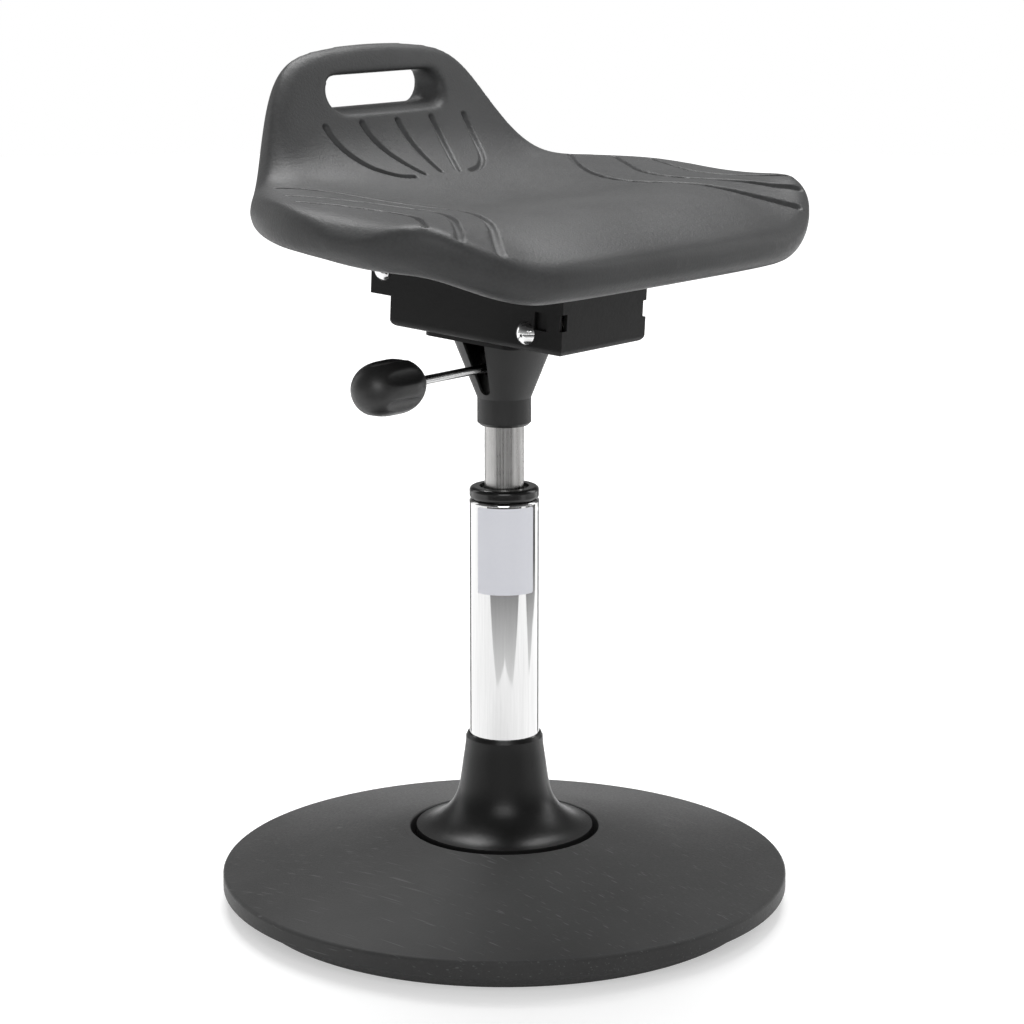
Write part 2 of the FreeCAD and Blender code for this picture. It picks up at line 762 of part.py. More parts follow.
def axle_bushes():
    bore = axle_radius
    outer = axle_radius + bush_wall
    x0 = channel_half_width - sheet - bush_flange_thickness
    x1 = channel_half_width
    tube = rod_along_x(outer, x0, x1, *axle_place)
    flange = rod_along_x(bush_flange_radius, x0, x0 + bush_flange_thickness, *axle_place)
    bush = tube.fuse(flange).cut(rod_along_x(bore, x0 - past, x1 + past, *axle_place)).removeSplitter()
    return tipped(Part.makeCompound([bush, bush.mirror(Vector(0, 0, 0), x_axis)]))


def cross_pin():
    w = channel_half_width
    return tipped(rod_along_x(cross_pin_radius - running_gap, -w, w, *cross_pin_place))


def cross_spacer():
    w = channel_half_width - sheet
    outer = rod_along_x(cross_pin_radius + spacer_wall, -w, w, *cross_pin_place)
    return tipped(outer.cut(rod_along_x(cross_pin_radius, -w - past, w + past, *cross_pin_place)))


def cross_caps():
    return domed_cap(cross_cap_radius, cap_height, channel_half_width, cross_pin_place)


def insert_block(margin, bottom, top):
    x, y = insert_size[0] / 2 + margin, insert_size[1] / 2 + margin
    body = block(-x, x, -y, y, bottom, top)
    return body.makeFillet(insert_corner, [e for e in body.Edges if e.BoundBox.ZLength > 1])


def seat_insert():
    body = insert_block(0, channel_roof, channel_roof + insert_thickness)
    for y, x in seat_bolt_places:
        for side in (-1, 1):
            body = body.cut(disc(bolt_radius, channel_roof - 1, channel_roof + 9).translated(
                Vector(side * x, y, 0)))
    return tipped(body)


def seat_bolts():
    top = channel_roof + insert_thickness
    head = channel_roof - sheet
    bolt = disc(bolt_head_radius, head - bolt_head_height, head)
    bolt = bolt.fuse(disc(bolt_radius - running_gap, head, top)).removeSplitter()
    places = [Vector(side * x, y, 0) for y, x in seat_bolt_places for side in (-1, 1)]
    return tipped(Part.makeCompound([bolt.translated(p) for p in places]))


# Seat

def smooth(value, low, high):
    """Rises softly from 0 at low to 1 at high."""
    t = min(1.0, max(0.0, (value - low) / (high - low)))
    return t * t * (3 - 2 * t)


def along(line, y):
    """Height on a line of (place, height) stations, with a soft curve through them."""
    y = min(line[-1][0], max(line[0][0], y))
    last = len(line) - 1
    i = max(k for k in range(last) if line[k][0] <= y)

    def slope(k):
        a, b = line[max(0, k - 1)], line[min(last, k + 1)]
        return (b[1] - a[1]) / (b[0] - a[0])

    (y0, z0), (y1, z1) = line[i], line[i + 1]
    width = y1 - y0
    t = (y - y0) / width
    return ((2 * t ** 3 - 3 * t ** 2 + 1) * z0 + (t ** 3 - 2 * t ** 2 + t) * width * slope(i)
            + (3 * t ** 2 - 2 * t ** 3) * z1 + (t ** 3 - t ** 2) * width * slope(i + 1))


def outline_share(x, corner):
    """How far the seat's outline stands out here, 1 in the middle and 0 at the side."""
    power, root = corner
    return (1 - (abs(x) / seat_half_width) ** power) ** root


def front_place(x):
    return -seat_side_line - (seat_front - seat_side_line) * outline_share(x, seat_front_corner)


def rear_place(x):
    return -seat_side_line + (seat_rear + seat_side_line) * outline_share(x, seat_rear_corner)


def top_height(x, y):
    """Height of the pan's top, which follows the front outline near the front."""
    shift = (front_place(x) + seat_front) * (1 - smooth(y, *shift_zone))
    forward = 1 - smooth(y, *front_zone)
    low, high = [at + further * forward for at, further in zip(side_takes_over, side_front_shift)]
    across = smooth(abs(x) / seat_half_width, low, high)
    middle = along(middle_line, y - shift)
    side = along(side_line, y - shift)
    return middle + (side - middle) * across


def grip_share(x):
    """How far the back stands up at this place across the seat, 0 to 1."""
    crown = grip_crown * (min(abs(x), grip_crown_half_width) / grip_crown_half_width) ** 2
    fall = 1 - smooth(abs(x) / seat_half_width, *grip_blend)
    return (1 - crown / grip_rise) * fall


def bottom_height(x, y):
    """Underside: a tipped plane in the middle that rises towards the sides."""
    roof = channel_roof + insert_thickness - insert_pocket_depth
    tilt = math.radians(seat_tilt)
    plane = roof * math.cos(tilt) + y * math.sin(tilt)
    forward = 1 - smooth(y, *hang_zone)
    side = top_height(x, y) - seat_thickness - seat_front_hang * forward
    return plane + (side - plane) * smooth(abs(x) / seat_half_width, *side_underneath)


def section(x):
    """Closed outline of the seat in the plane at x, as (y, z) points."""
    yf, yr = front_place(x), rear_place(x)
    share = grip_share(x)
    squeeze = min(1.0, (yr - yf) / seat_edge_room)
    rim = top_height(x, yf + 12 * squeeze)
    points = []
    for step, drop in front_edge:
        y = yf + step * squeeze
        inward = top_height(x, y) - rim if drop < 4 else 0
        points.append((y, rim + inward - drop))
    y0 = yf + front_edge[-1][0] * squeeze
    y1 = yr - rear_edge[0][0] * squeeze
    y1 += (back_section[0][0] - y1) * share
    for i in range(1, pan_stations):
        y = y0 + (y1 - y0) * i / pan_stations
        points.append((y, top_height(x, y)))
    for (step, drop), (yb, zb) in zip(rear_edge, back_section):
        y = yr - step * squeeze
        z = top_height(x, y) - drop
        points.append((y + (yb - y) * share ** grip_lean, z + (zb - z) * share))
    ya = points[-1][0] - 12 * squeeze
    yb = yf + (front_edge[0][0] + 10) * squeeze
    for i in range(pan_stations):
        y = ya + (yb - ya) * i / (pan_stations - 1)
        points.append((y, bottom_height(x, y)))
    over = abs(x) - (seat_half_width - seat_side_round)
    if over > 0:
        round_share = math.sqrt(1 - (over / seat_side_round) ** 2)
        middle = [top_height(x, y) - seat_thickness / 2 for y, z in points]
        points = [(y, m + (z - m) * round_share) for (y, z), m in zip(points, middle)]
    return points


def seat_body():
    """One smooth skin over cross sections, closed by a narrow flat at each side."""
    end = seat_half_width - seat_end_flat
    places = [share * seat_half_width for share in seat_sections] + [end]
    places = [-x for x in places[:0:-1]] + places
    poles = [[Vector(x, y, z) for y, z in section(x)] for x in places]
    rows, columns = len(poles), len(poles[0])
    skin = Part.BSplineSurface()
    skin.buildFromPolesMultsKnots(
        poles, [4] + [1] * (rows - 4) + [4], [1] * (columns + 1),
        list(range(rows - 2)), list(range(columns + 1)), False, True, 3, 3)
    side = skin.toShape()
    ends = [Part.Face(Part.Wire([e])) for e in side.Edges if e.BoundBox.XLength < 0.01]
    body = Part.makeCompound([side] + ends)
    body.sewShape()
    return Part.Solid(body)


def stadium(width, height, y, z):
    """Rounded slot outline in the plane at y."""
    radius = height / 2
    half = width / 2 - radius
    right = Part.Arc(Vector(half, y, z - radius), Vector(half + radius, y, z), Vector(half, y, z + radius))
    left = Part.Arc(Vector(-half, y, z + radius), Vector(-half - radius, y, z), Vector(-half, y, z - radius))
    top = Part.makeLine(Vector(half, y, z + radius), Vector(-half, y, z + radius))
    low = Part.makeLine(Vector(-half, y, z - radius), Vector(half, y, z - radius))
    return Part.Wire([right.toShape(), top, left.toShape(), low])


def hand_hole():
    """Slot through the back whose mouths widen towards both faces."""
    (w0, h0), (w1, h1) = hole_throat, hole_mouth
    front, back = hole_faces
    reach = hole_mouth_reach

    def outline(depth, share, face, outward):
        """Slot outline this deep under a face, its size between throat and mouth."""
        return stadium(w0 + (w1 - w0) * share, h0 + (h1 - h0) * share, face - outward * depth,
                       hole_height + hole_mouth_rise * share)

    length = back - front + 2 * reach
    hole = Part.Face(outline(reach, 0, front, 1)).extrude(Vector(0, length, 0))
    for face, outward in ((front, -1), (back, 1)):
        wires = [outline(depth, share, face, outward) for depth, share in hole_mouth_form]
        hole = hole.fuse(Part.makeLoft(wires, True, True))
        far = outline(-reach, 2 * hole_mouth_flare, face, outward)
        hole = hole.fuse(Part.makeLoft([wires[-1], far], True, True))
    return hole


def seat():
    body = seat_body().cut(hand_hole()).translated(Vector(0, 0, tray_height))
    roof = channel_roof + insert_thickness
    pocket = tipped(insert_block(0.3, roof - 12, roof))
    return body.cut(pocket).removeSplitter()


# Writing one file per piece

buffers = tilt_buffers()
pieces = {
    "base_cover": base_cover,
    "cover_collar": cover_collar,
    "base_plate": base_plate,
    "foot_ring": foot_ring,
    "cover_screws": cover_screws,
    "pivot_stud": pivot_stud,
    "stud_washer": stud_washer,
    "stud_nut": stud_nut,
    "rubber_buffer": rubber_buffer,
    "ball_liner": ball_liner,
    "hub": hub,
    "socket_ring": socket_ring,
    "stand_tube": stand_tube,
    "skirt": skirt,
    "collar": collar,
    "guide_bush": guide_bush,
    "tube_floor": tube_floor,
    "bearing_washer_lower": lambda: bearing_washer(floor_top, rod_radius + washer_play),
    "ball_cage": ball_cage,
    "bearing_washer_upper": lambda: bearing_washer(bearing_top, rod_radius + running_gap),
    "piston_rod": piston_rod,
    "rod_clip": rod_clip,
    "rod_bumper": rod_bumper,
    "piston_head": piston_head,
    "pressure_tube": pressure_tube,
    "end_guide": end_guide,
    "rod_seal": rod_seal,
    "valve_body": valve_body,
    "release_pin": release_pin,
    "taper_sleeve": taper_sleeve,
    "cone": cone,
    "lever_rod": lever_rod,
    "lever_pin": lever_pin,
    "lever_knob": lever_knob,
    "mount_plate": mount_plate,
    "tray": tray,
    "flange_bolts": flange_bolts,
    "front_axle": front_axle,
    "axle_caps": axle_caps,
    "tilt_buffer_right": lambda: buffers[0],
    "tilt_buffer_left": lambda: buffers[1],
    "seat_channel": seat_channel,
    "axle_bushes": axle_bushes,
    "cross_pin": cross_pin,
    "cross_spacer": cross_spacer,
    "cross_caps": cross_caps,
    "seat_insert": seat_insert,
    "seat_bolts": seat_bolts,
    "seat": seat,
}

os.makedirs("parts", exist_ok=True)
for name, make in pieces.items():
    shape = make()
    print(name, len(shape.Solids), round(shape.Volume, 1), shape.isValid())
    shape.exportStep("parts/" + name + ".step")
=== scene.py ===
import json
import math

import bmesh
import bpy
from mathutils import Matrix, Vector
from mathutils.geometry import intersect_point_line
from mathutils.kdtree import KDTree


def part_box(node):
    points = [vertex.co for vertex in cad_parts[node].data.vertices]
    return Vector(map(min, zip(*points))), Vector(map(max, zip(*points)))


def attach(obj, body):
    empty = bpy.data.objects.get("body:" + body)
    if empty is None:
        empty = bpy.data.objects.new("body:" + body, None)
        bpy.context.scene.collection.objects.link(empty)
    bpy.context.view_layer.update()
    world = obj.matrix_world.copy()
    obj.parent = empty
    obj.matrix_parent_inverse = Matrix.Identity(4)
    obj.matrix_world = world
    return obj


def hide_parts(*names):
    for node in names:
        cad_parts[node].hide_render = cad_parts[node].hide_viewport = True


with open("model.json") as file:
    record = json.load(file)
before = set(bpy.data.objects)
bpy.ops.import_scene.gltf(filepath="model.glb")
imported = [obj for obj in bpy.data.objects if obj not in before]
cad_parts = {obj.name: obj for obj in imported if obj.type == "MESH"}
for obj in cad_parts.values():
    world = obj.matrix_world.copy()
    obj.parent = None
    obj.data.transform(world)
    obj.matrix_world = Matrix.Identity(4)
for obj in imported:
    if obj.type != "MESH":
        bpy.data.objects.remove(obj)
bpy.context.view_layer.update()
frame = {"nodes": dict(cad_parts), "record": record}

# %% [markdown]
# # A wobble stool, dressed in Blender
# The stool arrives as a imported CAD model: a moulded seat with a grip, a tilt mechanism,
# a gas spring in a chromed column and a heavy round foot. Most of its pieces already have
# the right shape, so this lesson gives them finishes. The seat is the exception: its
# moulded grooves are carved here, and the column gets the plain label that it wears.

nodes = frame["nodes"]

# %% [markdown]
# ## The camera
# A long lens from the sitter's right, a little above the seat, is what keeps the two
# halves of the seat and the round foot nearly free of perspective. The camera could be
# aimed with a constraint, but a constraint can be lost in an export, so its turn is
# worked out once from the direction in which it looks.

# %% The camera
camera_place = Vector((-1.5775, -1.2584, 0.7174))
camera_look = Vector((0.7659, 0.6076, -0.2101))
camera_lens_mm = 102.76

camera_data = bpy.data.cameras.new("stool_camera")
camera_data.lens = camera_lens_mm
camera_data.sensor_width = 36.0
camera = bpy.data.objects.new("stool_camera", camera_data)
camera.location = camera_place
camera.rotation_euler = camera_look.to_track_quat("-Z", "Y").to_euler()
bpy.context.scene.collection.objects.link(camera)
bpy.context.scene.camera = camera
bpy.context.scene.view_settings.view_transform = "Standard"
print("camera", round(camera_place.length, 3), "m from the foot's centre")

# %% [markdown]
# ## The studio
# A dark, matte seat only shows its form through broad, soft highlights. The usual way to
# get them is a large soft lamp above and behind, and weaker ones at each side and in
# front. Each lamp here is an area lamp aimed at the middle of the seat. The lamps stay at a
# plain level, so a colour renders about as it is written.

# %% Lamps
seat_middle = Vector((0.0, 0.0, 0.47))
toward_camera = Vector((-camera_look.x, -camera_look.y, 0.0)).normalized()
camera_right = Vector((-toward_camera.y, toward_camera.x, 0.0))


def soft_lamp(name, offset, width, height, watts):
    """An area lamp. offset is metres to the camera's right, towards the camera and up."""
    right, toward, up = offset
    place = seat_middle + right * camera_right + toward * toward_camera + Vector((0, 0, up))
    lamp_data = bpy.data.lights.new(name, "AREA")
    lamp_data.shape = "RECTANGLE"
    lamp_data.size = width
    lamp_data.size_y = height
    lamp_data.energy = watts
    lamp = bpy.data.objects.new(name, lamp_data)
    lamp.location = place
    lamp.rotation_euler = (seat_middle - place).to_track_quat("-Z", "Y").to_euler()
    bpy.context.scene.collection.objects.link(lamp)
    return lamp


lamps = [
    soft_lamp("overhead_softbox", (0.0, -0.9, 1.83), width=1.8, height=1.2, watts=68.0),
    soft_lamp("left_softbox", (-1.7, -0.9, 0.5), width=0.7, height=1.4, watts=4.0),
    soft_lamp("right_softbox", (1.7, -0.7, 0.6), width=0.7, height=1.4, watts=8.0),
    soft_lamp("front_softbox", (0.0, 2.0, 0.9), width=1.4, height=0.9, watts=16.0),
]
print([(lamp.name, lamp.data.energy) for lamp in lamps], "W")

# %% [markdown]
# ## World and floor
# The background is pure white. Turning up the lamps would wash out the object, so only
# camera, glossy and transmission rays see a bright world, and the light on the object
# stays as it is. A reflection sees walls that are greyer and fade to a dim ceiling, because
# a dark matte seat under a white sky turns milky. The floor is a pale disc that glows for
# those same rays, more with distance, and still receives the object's shadow.

# %% Helpers for numbers in a shader
def calculate(tree, operation, *values):
    """A Math node. Each value is a number or a socket."""
    node = tree.nodes.new("ShaderNodeMath")
    node.operation = operation
    for value, socket in zip(values, node.inputs):
        if isinstance(value, (int, float)):
            socket.default_value = value
        else:
            tree.links.new(value, socket)
    return node.outputs[0]


def ranged(tree, source, low, high, from_low=0.3, from_high=0.7):
    """Spread a number over a range. low and high are numbers or sockets."""
    node = tree.nodes.new("ShaderNodeMapRange")
    node.inputs["From Min"].default_value = from_low
    node.inputs["From Max"].default_value = from_high
    tree.links.new(source, node.inputs["Value"])
    for value, name in ((low, "To Min"), (high, "To Max")):
        if isinstance(value, (int, float)):
            node.inputs[name].default_value = value
        else:
            tree.links.new(value, node.inputs[name])
    return node.outputs["Result"]


def background_rays(tree):
    """1 for camera, glossy and transmission rays, and 0 for the rays that light things."""
    rays = tree.nodes.new("ShaderNodeLightPath").outputs
    return calculate(tree, "MAXIMUM",
                     calculate(tree, "MAXIMUM", rays["Is Camera Ray"], rays["Is Glossy Ray"]),
                     rays["Is Transmission Ray"])


def distance_from_stool(tree):
    """How far a point of the floor is from the foot's centre."""
    place = tree.nodes.new("ShaderNodeTexCoord")
    away = tree.nodes.new("ShaderNodeVectorMath")
    away.operation = "LENGTH"
    tree.links.new(place.outputs["Object"], away.inputs[0])
    return away.outputs["Value"]


# %% The world
studio_fill = 0.34
wall_tone, ceiling_tone = 0.45, 0.12
# Heights of a ray's direction between which the walls fade into the ceiling
fade_low, fade_high = 0.02, 0.35

world = bpy.data.worlds.new("white_studio")
world.use_nodes = True
bpy.context.scene.world = world
sky = world.node_tree
sky.nodes.clear()
world_out = sky.nodes.new("ShaderNodeOutputWorld")
seen = sky.nodes.new("ShaderNodeBackground")
seen.inputs["Strength"].default_value = 1.0
lighting = sky.nodes.new("ShaderNodeBackground")
lighting.inputs["Strength"].default_value = studio_fill
lighting.inputs["Color"].default_value = (1, 1, 1, 1)

direction = sky.nodes.new("ShaderNodeTexCoord")
upward = sky.nodes.new("ShaderNodeSeparateXYZ")
sky.links.new(direction.outputs["Generated"], upward.inputs[0])
faded = ranged(sky, upward.outputs["Z"], wall_tone, ceiling_tone, fade_low, fade_high)
camera_ray = sky.nodes.new("ShaderNodeLightPath").outputs["Is Camera Ray"]
sky.links.new(calculate(sky, "MAXIMUM", faded, camera_ray), seen.inputs["Color"])
world_mix = sky.nodes.new("ShaderNodeMixShader")
sky.links.new(background_rays(sky), world_mix.inputs["Fac"])
sky.links.new(lighting.outputs[0], world_mix.inputs[1])
sky.links.new(seen.outputs[0], world_mix.inputs[2])
sky.links.new(world_mix.outputs[0], world_out.inputs["Surface"])
print("world fill", studio_fill)

# %% The floor
floor_radius = 6.0
floor_sides = 96
floor_height = -0.0006
paper_tone, paper_roughness = 0.64, 0.9
# The glow's strength near and far, and the distances between which it changes
floor_glow_near, floor_glow_far = 0.46, 1.0
glow_from, glow_to = 0.6, 2.6

floor_bm = bmesh.new()
bmesh.ops.create_circle(floor_bm, cap_ends=True, segments=floor_sides, radius=floor_radius)
bmesh.ops.translate(floor_bm, verts=floor_bm.verts, vec=(0, 0, floor_height))
floor_mesh = bpy.data.meshes.new("studio_floor")
floor_bm.to_mesh(floor_mesh)
floor_bm.free()
floor = bpy.data.objects.new("studio_floor", floor_mesh)
bpy.context.scene.collection.objects.link(floor)

floor_paint = bpy.data.materials.new("floor_paper")
floor_paint.use_nodes = True
floor_tree = floor_paint.node_tree
paper = floor_tree.nodes["Principled BSDF"]
paper.inputs["Base Color"].default_value = (paper_tone, paper_tone, paper_tone, 1)
paper.inputs["Roughness"].default_value = paper_roughness
paper.inputs["Specular IOR Level"].default_value = 0.0
paper.inputs["Emission Color"].default_value = (1, 1, 1, 1)
glow = ranged(floor_tree, distance_from_stool(floor_tree), floor_glow_near, floor_glow_far,
              glow_from, glow_to)
floor_tree.links.new(calculate(floor_tree, "MULTIPLY", background_rays(floor_tree), glow),
                     paper.inputs["Emission Strength"])
floor_mesh.materials.append(floor_paint)
print("floor", floor_radius, "m")

# %% [markdown]
# ## What the chrome sees
# Polished chrome has no colour of its own, only what it reflects. In a white studio it
# would vanish, so a photographer stands dark cards where the metal can see them. Here two
# tall cards behind the stool draw the thin dark lines along the column's edges. A dark
# tapering mat in front draws the wedge down its middle, and a smaller mat on the right a
# line beside it. They meet only glossy rays, so they neither show nor shade anything.

# %% Paint for the cards
edge_card_tone = 0.16
mat_near_tone, mat_far_tone = 0.75, 0.10
# The distances from the stool between which a mat darkens
card_fade_from, card_fade_to = 0.6, 1.1


def card_paint(name, near_tone, far_tone):
    """A matte paint whose tone changes with distance from the stool."""
    paint = bpy.data.materials.new(name)
    paint.use_nodes = True
    tree = paint.node_tree
    shader = tree.nodes["Principled BSDF"]
    tone = ranged(tree, distance_from_stool(tree), near_tone, far_tone, card_fade_from,
                  card_fade_to)
    tree.links.new(tone, shader.inputs["Base Color"])
    shader.inputs["Roughness"].default_value = 1.0
    shader.inputs["Specular IOR Level"].default_value = 0.0
    return paint


edge_paint = card_paint("edge_card", edge_card_tone, edge_card_tone)
mat_paint = card_paint("front_mat", mat_near_tone, mat_far_tone)
print("paints", edge_paint.name, mat_paint.name)


# %% Helpers for the cards
def dark_card(name, corners, paint):
    """A flat card through its corners, for reflections only."""
    bm = bmesh.new()
    bm.faces.new([bm.verts.new(corner) for corner in corners])
    mesh = bpy.data.meshes.new(name)
    bm.to_mesh(mesh)
    bm.free()
    mesh.materials.append(paint)
    card = bpy.data.objects.new(name, mesh)
    bpy.context.scene.collection.objects.link(card)
    card.visible_camera = False
    card.visible_diffuse = False
    card.visible_shadow = False
    card.visible_transmission = False
    return card


def round_about(azimuth_deg, distance, height):
    """A place at an angle from the camera's side, positive towards the camera's right."""
    turn = math.radians(azimuth_deg)
    return (toward_camera * math.cos(turn) + camera_right * math.sin(turn)) * distance \
        + Vector((0, 0, height))


# %% Stand the cards
card_bottom = 0.004
edge_card_top = 0.5
edge_card_distance = 0.42
edge_card_from_deg, edge_card_to_deg = 137, 150
# Corners of the mats on the floor: degrees from the camera's side, and metres away
front_mat = [(-24, 0.60), (-47, 0.95), (-58, 1.4), (-52, 2.6), (0, 2.6), (52, 2.6), (58, 1.4),
             (48, 0.95), (26, 0.60), (1, 0.69)]
side_mat = [(87, 0.62), (80, 0.80), (74, 0.95), (74, 1.5), (120, 1.5), (120, 0.95), (104, 0.80)]

cards = []
for side, name in ((-1, "left"), (1, "right")):
    edge_card = [round_about(side * turn, edge_card_distance, height)
                 for turn, height in ((edge_card_from_deg, card_bottom),
                                      (edge_card_to_deg, card_bottom),
                                      (edge_card_to_deg, edge_card_top),
                                      (edge_card_from_deg, edge_card_top))]
    cards.append(dark_card("edge_card_" + name, edge_card, edge_paint))
for name, mat in (("front_mat", front_mat), ("side_mat", side_mat)):
    corners = [round_about(turn, distance, card_bottom) for turn, distance in mat]
    cards.append(dark_card(name, corners, mat_paint))
print(len(cards), "dark cards")

# %% [markdown]
# ## Shared effects
# Two effects return on many finishes: the fine grain that a mould leaves, and the long
# marks that drawing or brushing leaves. A third lays light scuffs over one of them. Each is
# a node group with named sockets, because then one look is tuned in one place. A group
# only hands on colours, roughness and heights. The shader itself, with its fixed values,
# stays in each material.

# %% A helper for groups
def effect_group(name, inputs, outputs):
    """A shader group with named sockets: (name, kind, default) in, (name, kind) out."""
    group = bpy.data.node_groups.new(name, "ShaderNodeTree")
    for socket_name, kind, value in inputs:
        socket = group.interface.new_socket(socket_name, in_out="INPUT", socket_type=kind)
        if value is not None:
            socket.default_value = value
    for socket_name, kind in outputs:
        group.interface.new_socket(socket_name, in_out="OUTPUT", socket_type=kind)
    return group, group.nodes.new("NodeGroupInput"), group.nodes.new("NodeGroupOutput")


def noise(group, scale, detail=2.0, roughness=0.5):
    """A noise of about so many specks to the metre."""
    node = group.nodes.new("ShaderNodeTexNoise")
    node.inputs["Scale"].default_value = scale
    node.inputs["Detail"].default_value = detail
    node.inputs["Roughness"].default_value = roughness
    return node


def mixed_colour(group, factor, first, second):
    """Goes from the first colour to the second. Each is a colour or a socket."""
    node = group.nodes.new("ShaderNodeMix")
    node.data_type = "RGBA"
    group.links.new(factor, node.inputs["Factor"])
    for value, socket in ((first, node.inputs[6]), (second, node.inputs[7])):
        if isinstance(value, tuple):
            socket.default_value = value
        else:
            group.links.new(value, socket)
    return node.outputs[2]


# %% Moulded grain
COLOUR, NUMBER, PLACE = "NodeSocketColor", "NodeSocketFloat", "NodeSocketVector"

grain, grain_in, grain_out = effect_group(
    "moulded_grain",
    [("Place", PLACE, None), ("Dark Tone", COLOUR, (0.06, 0.06, 0.06, 1)),
     ("Light Tone", COLOUR, (0.08, 0.08, 0.08, 1)), ("Rough Low", NUMBER, 0.5),
     ("Rough High", NUMBER, 0.6), ("Grain Size", NUMBER, 1.0)],
    [("Colour", COLOUR), ("Roughness", NUMBER), ("Height", NUMBER)])
grain_scale, pebble_scale, cloud_scale = 900.0, 2600.0, 14.0
speckle_share, pebble_share = 0.45, 0.35
cloud_low, cloud_high = 0.1, 0.45

coarse = noise(grain, grain_scale, 3.0, 0.6)
fine = noise(grain, pebble_scale)
cloudy = noise(grain, cloud_scale, 3.0)
sized = grain.nodes.new("ShaderNodeVectorMath")
sized.operation = "SCALE"
grain.links.new(grain_in.outputs["Place"], sized.inputs[0])
grain.links.new(grain_in.outputs["Grain Size"], sized.inputs["Scale"])
for texture in (coarse, fine):
    grain.links.new(sized.outputs[0], texture.inputs["Vector"])
grain.links.new(grain_in.outputs["Place"], cloudy.inputs["Vector"])
speckle = calculate(grain, "MULTIPLY_ADD", coarse.outputs["Fac"], speckle_share,
                    ranged(grain, cloudy.outputs["Fac"], cloud_low, cloud_high))
grain.links.new(mixed_colour(grain, speckle, grain_in.outputs["Dark Tone"],
                             grain_in.outputs["Light Tone"]), grain_out.inputs["Colour"])
grain.links.new(ranged(grain, coarse.outputs["Fac"], grain_in.outputs["Rough Low"],
                       grain_in.outputs["Rough High"]), grain_out.inputs["Roughness"])
pebbles = calculate(grain, "MULTIPLY_ADD", fine.outputs["Fac"], pebble_share,
                    coarse.outputs["Fac"])
grain.links.new(pebbles, grain_out.inputs["Height"])
print(grain.name, len(grain.nodes), "nodes")

# %% Drawn marks
drawn, drawn_in, drawn_out = effect_group(
    "drawn_marks",
    [("Place", PLACE, None), ("Dark Tone", COLOUR, (0.5, 0.5, 0.5, 1)),
     ("Light Tone", COLOUR, (0.7, 0.7, 0.7, 1)), ("Rough Low", NUMBER, 0.2),
     ("Rough High", NUMBER, 0.3), ("Stretch", PLACE, (1.0, 1.0, 0.02))],
    [("Colour", COLOUR), ("Roughness", NUMBER), ("Height", NUMBER)])
streak_scale, patch_scale = 700.0, 60.0
patch_low, patch_high = 0.8, 1.25

stretched = drawn.nodes.new("ShaderNodeVectorMath")
stretched.operation = "MULTIPLY"
drawn.links.new(drawn_in.outputs["Place"], stretched.inputs[0])
drawn.links.new(drawn_in.outputs["Stretch"], stretched.inputs[1])
streaks, patches = noise(drawn, streak_scale, 3.0, 0.65), noise(drawn, patch_scale)
drawn.links.new(stretched.outputs[0], streaks.inputs["Vector"])
drawn.links.new(drawn_in.outputs["Place"], patches.inputs["Vector"])
drawn.links.new(mixed_colour(drawn, ranged(drawn, streaks.outputs["Fac"], 0.0, 1.0),
                             drawn_in.outputs["Dark Tone"], drawn_in.outputs["Light Tone"]),
                drawn_out.inputs["Colour"])
uneven = calculate(drawn, "MULTIPLY", streaks.outputs["Fac"],
                   ranged(drawn, patches.outputs["Fac"], patch_low, patch_high))
drawn.links.new(ranged(drawn, uneven, drawn_in.outputs["Rough Low"],
                       drawn_in.outputs["Rough High"]), drawn_out.inputs["Roughness"])
drawn.links.new(streaks.outputs["Fac"], drawn_out.inputs["Height"])
print(drawn.name, len(drawn.nodes), "nodes")

# %% Scuffs
scuffs, scuffs_in, scuffs_out = effect_group(
    "light_scuffs",
    [("Place", PLACE, None), ("Colour", COLOUR, (0.1, 0.1, 0.1, 1)),
     ("Scuff Tone", COLOUR, (0.2, 0.2, 0.2, 1)), ("Amount", NUMBER, 0.5)],
    [("Colour", COLOUR)])
scuff_turns_deg = (24.0, -37.0, 78.0)
scuff_scale, scuff_stretch = 520.0, 0.035
# Only the peaks of the noise between these two become a mark
scuff_from, scuff_full = 0.70, 0.80

masks = []
for turn_deg in scuff_turns_deg:
    turned = scuffs.nodes.new("ShaderNodeMapping")
    turned.inputs["Rotation"].default_value = (0.0, 0.0, math.radians(turn_deg))
    turned.inputs["Scale"].default_value = (1.0, scuff_stretch, 1.0)
    scuffs.links.new(scuffs_in.outputs["Place"], turned.inputs["Vector"])
    hair = noise(scuffs, scuff_scale, 1.0, 0.4)
    scuffs.links.new(turned.outputs["Vector"], hair.inputs["Vector"])
    masks.append(ranged(scuffs, hair.outputs["Fac"], 0.0, 1.0, scuff_from, scuff_full))
strongest = masks[0]
for mask in masks[1:]:
    strongest = calculate(scuffs, "MAXIMUM", strongest, mask)
limited = calculate(scuffs, "MULTIPLY", strongest, scuffs_in.outputs["Amount"])
scuffs.links.new(mixed_colour(scuffs, limited, scuffs_in.outputs["Colour"],
                              scuffs_in.outputs["Scuff Tone"]), scuffs_out.inputs["Colour"])
print(scuffs.name, len(scuffs.nodes), "nodes")

# %% [markdown]
# ## Finishes
# A finish is a material: one shader with its fixed values, and one shared effect that
# varies its colour, roughness and height over the surface. The places come from Object
# coordinates, which need no unwrapping. The bump distances are real ones, in metres,
# because a grain that is too deep turns plastic into orange peel.

# %% A helper for finishes
def grey(value, warmth=0.0):
    """A grey as a colour, warmer with more red and less blue."""
    return (value * (1 + warmth), value, value * (1 - warmth), 1.0)


